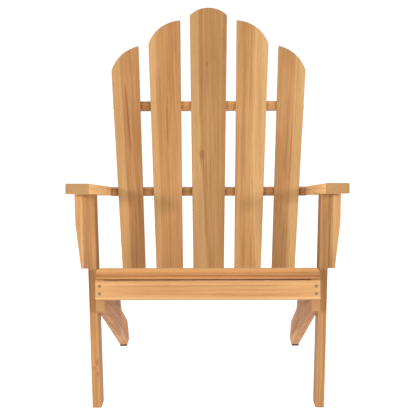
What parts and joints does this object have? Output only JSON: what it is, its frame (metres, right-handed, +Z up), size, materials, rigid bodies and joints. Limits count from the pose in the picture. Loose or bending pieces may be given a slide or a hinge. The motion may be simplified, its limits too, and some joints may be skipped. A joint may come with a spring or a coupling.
{
  "type": "adirondack chair",
  "caption": "Low wooden garden chair with a fanned, reclined slat back, a sloping slat seat on long side rails, and straight arms carried on upright front legs.",
  "frame": {"origin": "on the floor, at the middle of the chair's overall box", "axes": "+Z up; +X to the chair's right as seen from the front; +Y from the front of the chair to its back"},
  "size_m": [0.6798, 0.9493, 1.0395],
  "materials": {
    "teak": "oiled",
    "bronzed_steel": "satin",
    "black_plastic": "matt"
  },
  "bodies": {
    "root": {"apron_screws": "bronzed_steel", "arm_bracket_left": "teak", "arm_bracket_right": "teak", "arm_cross_rail": "teak", "arm_left": "teak", "arm_plugs": "teak", "arm_right": "teak", "arm_screws": "bronzed_steel", "back_slat_centre": "teak", "back_slat_inner_left": "teak", "back_slat_inner_right": "teak", "back_slat_outer_left": "teak", "back_slat_outer_right": "teak", "back_slat_screws": "bronzed_steel", "bracket_screws": "bronzed_steel", "front_apron": "teak", "front_leg_left": "teak", "front_leg_right": "teak", "glide_screws": "bronzed_steel", "leg_bolt_nuts": "bronzed_steel", "leg_bolts": "bronzed_steel", "lower_back_rail": "teak", "lower_rail_screws": "bronzed_steel", "rear_glide_left": "black_plastic", "rear_glide_right": "black_plastic", "seat_slat_1": "teak", "seat_slat_2": "teak", "seat_slat_3": "teak", "seat_slat_4": "teak", "seat_slat_5": "teak", "seat_slat_6": "teak", "seat_slat_7": "teak", "seat_slat_screws": "bronzed_steel", "side_rail_left": "teak", "side_rail_right": "teak", "tenon_pegs": "teak", "upper_back_rail": "teak"}
  },
  "joints": []
}
